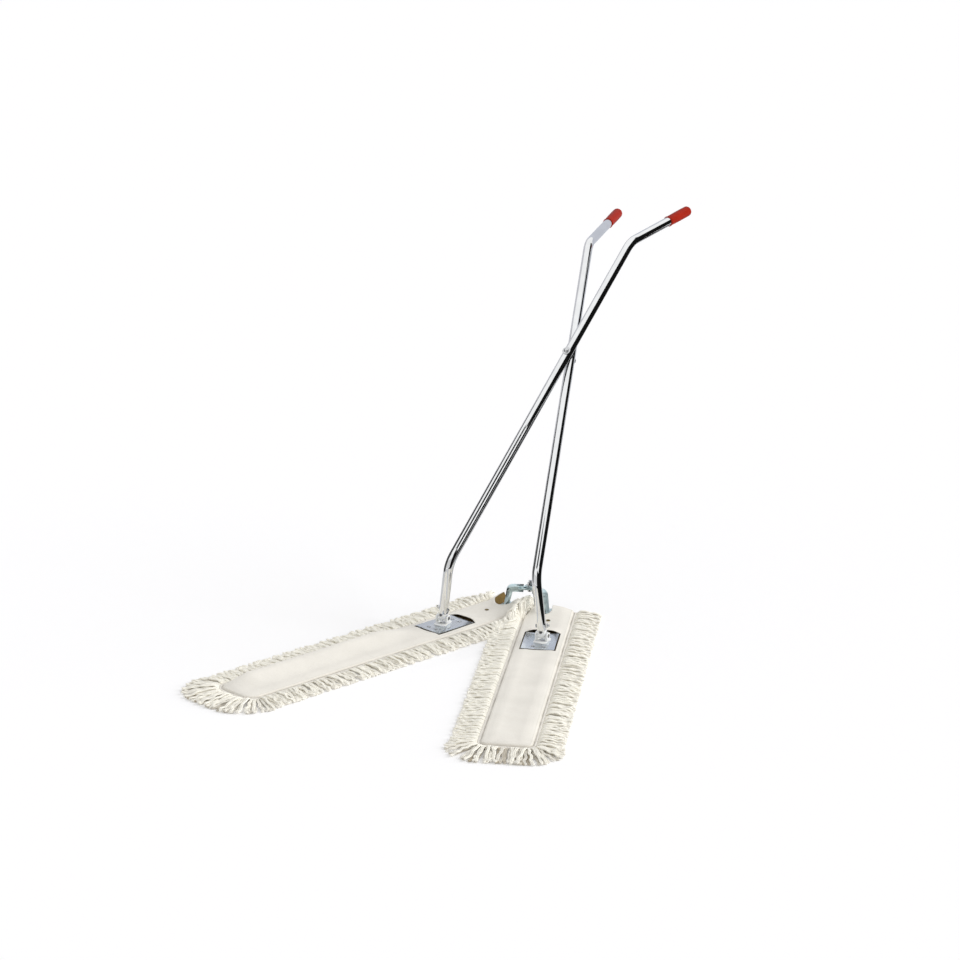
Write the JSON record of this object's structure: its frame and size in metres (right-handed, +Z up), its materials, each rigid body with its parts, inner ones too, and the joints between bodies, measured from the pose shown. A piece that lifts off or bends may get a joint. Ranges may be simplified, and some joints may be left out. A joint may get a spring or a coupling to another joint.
{
  "type": "two-headed dust mop",
  "caption": "Floor dust mop with long fringed mop heads hinged in a V, pushed by crossing bent tube handles that open and close the V like scissors.",
  "frame": {"origin": "on the floor, in the middle of the V and halfway along the whole length", "axes": "+Z up, +Y back to the user, +X to the right seen from the open side of the V"},
  "size_m": [1.0178, 1.8354, 0.9834],
  "materials": {
    "chrome": "bright chrome plate",
    "zinc": "blue-bright zinc plate",
    "bolt_steel": "bright zinc-plated fasteners",
    "pin_steel": "dark steel pins",
    "brass": "brass snap fastener",
    "nylon": "natural white nylon, slightly translucent",
    "grip_red": "soft red-orange moulded grip",
    "canvas": "plain-weave unbleached cotton canvas",
    "cotton_yarn": "loose twisted cotton yarn"
  },
  "bodies": {
    "left_head": {"left_wire_frame": "zinc", "left_saddle_plate": "zinc", "left_clamp_straps": "zinc", "left_plate_rivets": "zinc", "left_swivel_rivet": "zinc", "left_yarn_sole": "cotton_yarn", "left_canvas_cover": "canvas", "left_fringe": "cotton_yarn", "left_press_stud": "brass", "left_hinge_arm": "zinc", "left_arm_clamp": "zinc", "left_arm_rivets": "zinc", "hinge_bolt": "bolt_steel", "hinge_washers": "zinc", "hinge_nut": "bolt_steel"},
    "left_yoke": {"left_yoke": "nylon", "left_tilt_pins": "pin_steel"},
    "left_knuckle": {"left_knuckle": "nylon", "left_swing_pin": "pin_steel"},
    "left_handle": {"left_stem": "nylon", "left_handle_tube": "chrome", "left_stem_bolt": "bolt_steel", "left_stem_nut": "bolt_steel", "left_grip": "grip_red", "scissor_bolt": "bolt_steel", "scissor_washers": "zinc", "scissor_nut": "bolt_steel"},
    "right_head": {"right_wire_frame": "zinc", "right_saddle_plate": "zinc", "right_clamp_straps": "zinc", "right_plate_rivets": "zinc", "right_swivel_rivet": "zinc", "right_yarn_sole": "cotton_yarn", "right_canvas_cover": "canvas", "right_fringe": "cotton_yarn", "right_press_stud": "brass", "right_hinge_arm": "zinc", "right_arm_clamp": "zinc", "right_arm_rivets": "zinc"},
    "right_yoke": {"right_yoke": "nylon", "right_tilt_pins": "pin_steel"},
    "right_knuckle": {"right_knuckle": "nylon", "right_swing_pin": "pin_steel"},
    "right_handle": {"right_stem": "nylon", "right_handle_tube": "chrome", "right_stem_bolt": "bolt_steel", "right_stem_nut": "bolt_steel", "right_grip": "grip_red"}
  },
  "joints": [
    {"name": "v_hinge", "type": "hinge", "parent": "left_head", "child": "right_head", "pos_m": [0, 0.13768, 0.07], "axis": [0, 0, 1], "range_deg": [-10, 30]},
    {"name": "left_swivel", "type": "hinge", "parent": "left_head", "child": "left_yoke", "pos_m": [-0.14358, -0.09436, 0.0145], "axis": [0, 0, 1], "range_deg": [-5.1, 15.1]},
    {"name": "right_swivel", "type": "hinge", "parent": "right_head", "child": "right_yoke", "pos_m": [0.14358, -0.09436, 0.0145], "axis": [0, 0, 1], "range_deg": [-15.1, 5.1]},
    {"name": "left_tilt", "type": "hinge", "parent": "left_yoke", "child": "left_knuckle", "pos_m": [-0.14358, -0.09436, 0.0311], "axis": [1, 0, 0], "range_deg": [-40, 40]},
    {"name": "right_tilt", "type": "hinge", "parent": "right_yoke", "child": "right_knuckle", "pos_m": [0.14358, -0.09436, 0.0311], "axis": [1, 0, 0], "range_deg": [-40, 40]},
    {"name": "left_swing", "type": "hinge", "parent": "left_knuckle", "child": "left_handle", "pos_m": [-0.14358, -0.09436, 0.0311], "axis": [0, -0.7193, 0.6947], "range_deg": [-5, 2]},
    {"name": "right_swing", "type": "hinge", "parent": "right_knuckle", "child": "right_handle", "pos_m": [0.14358, -0.09436, 0.0311], "axis": [0, -0.7193, 0.6947], "range_deg": [-2, 5]}
  ],
  "couplings": [
    {"joint": "left_swivel", "follows": "v_hinge", "ratio": 0.5},
    {"joint": "right_swivel", "follows": "v_hinge", "ratio": -0.5},
    {"joint": "left_swing", "follows": "v_hinge", "ratio": -0.1434},
    {"joint": "right_swing", "follows": "v_hinge", "ratio": 0.1434},
    {"joint": "right_tilt", "follows": "left_tilt", "ratio": 1}
  ]
}
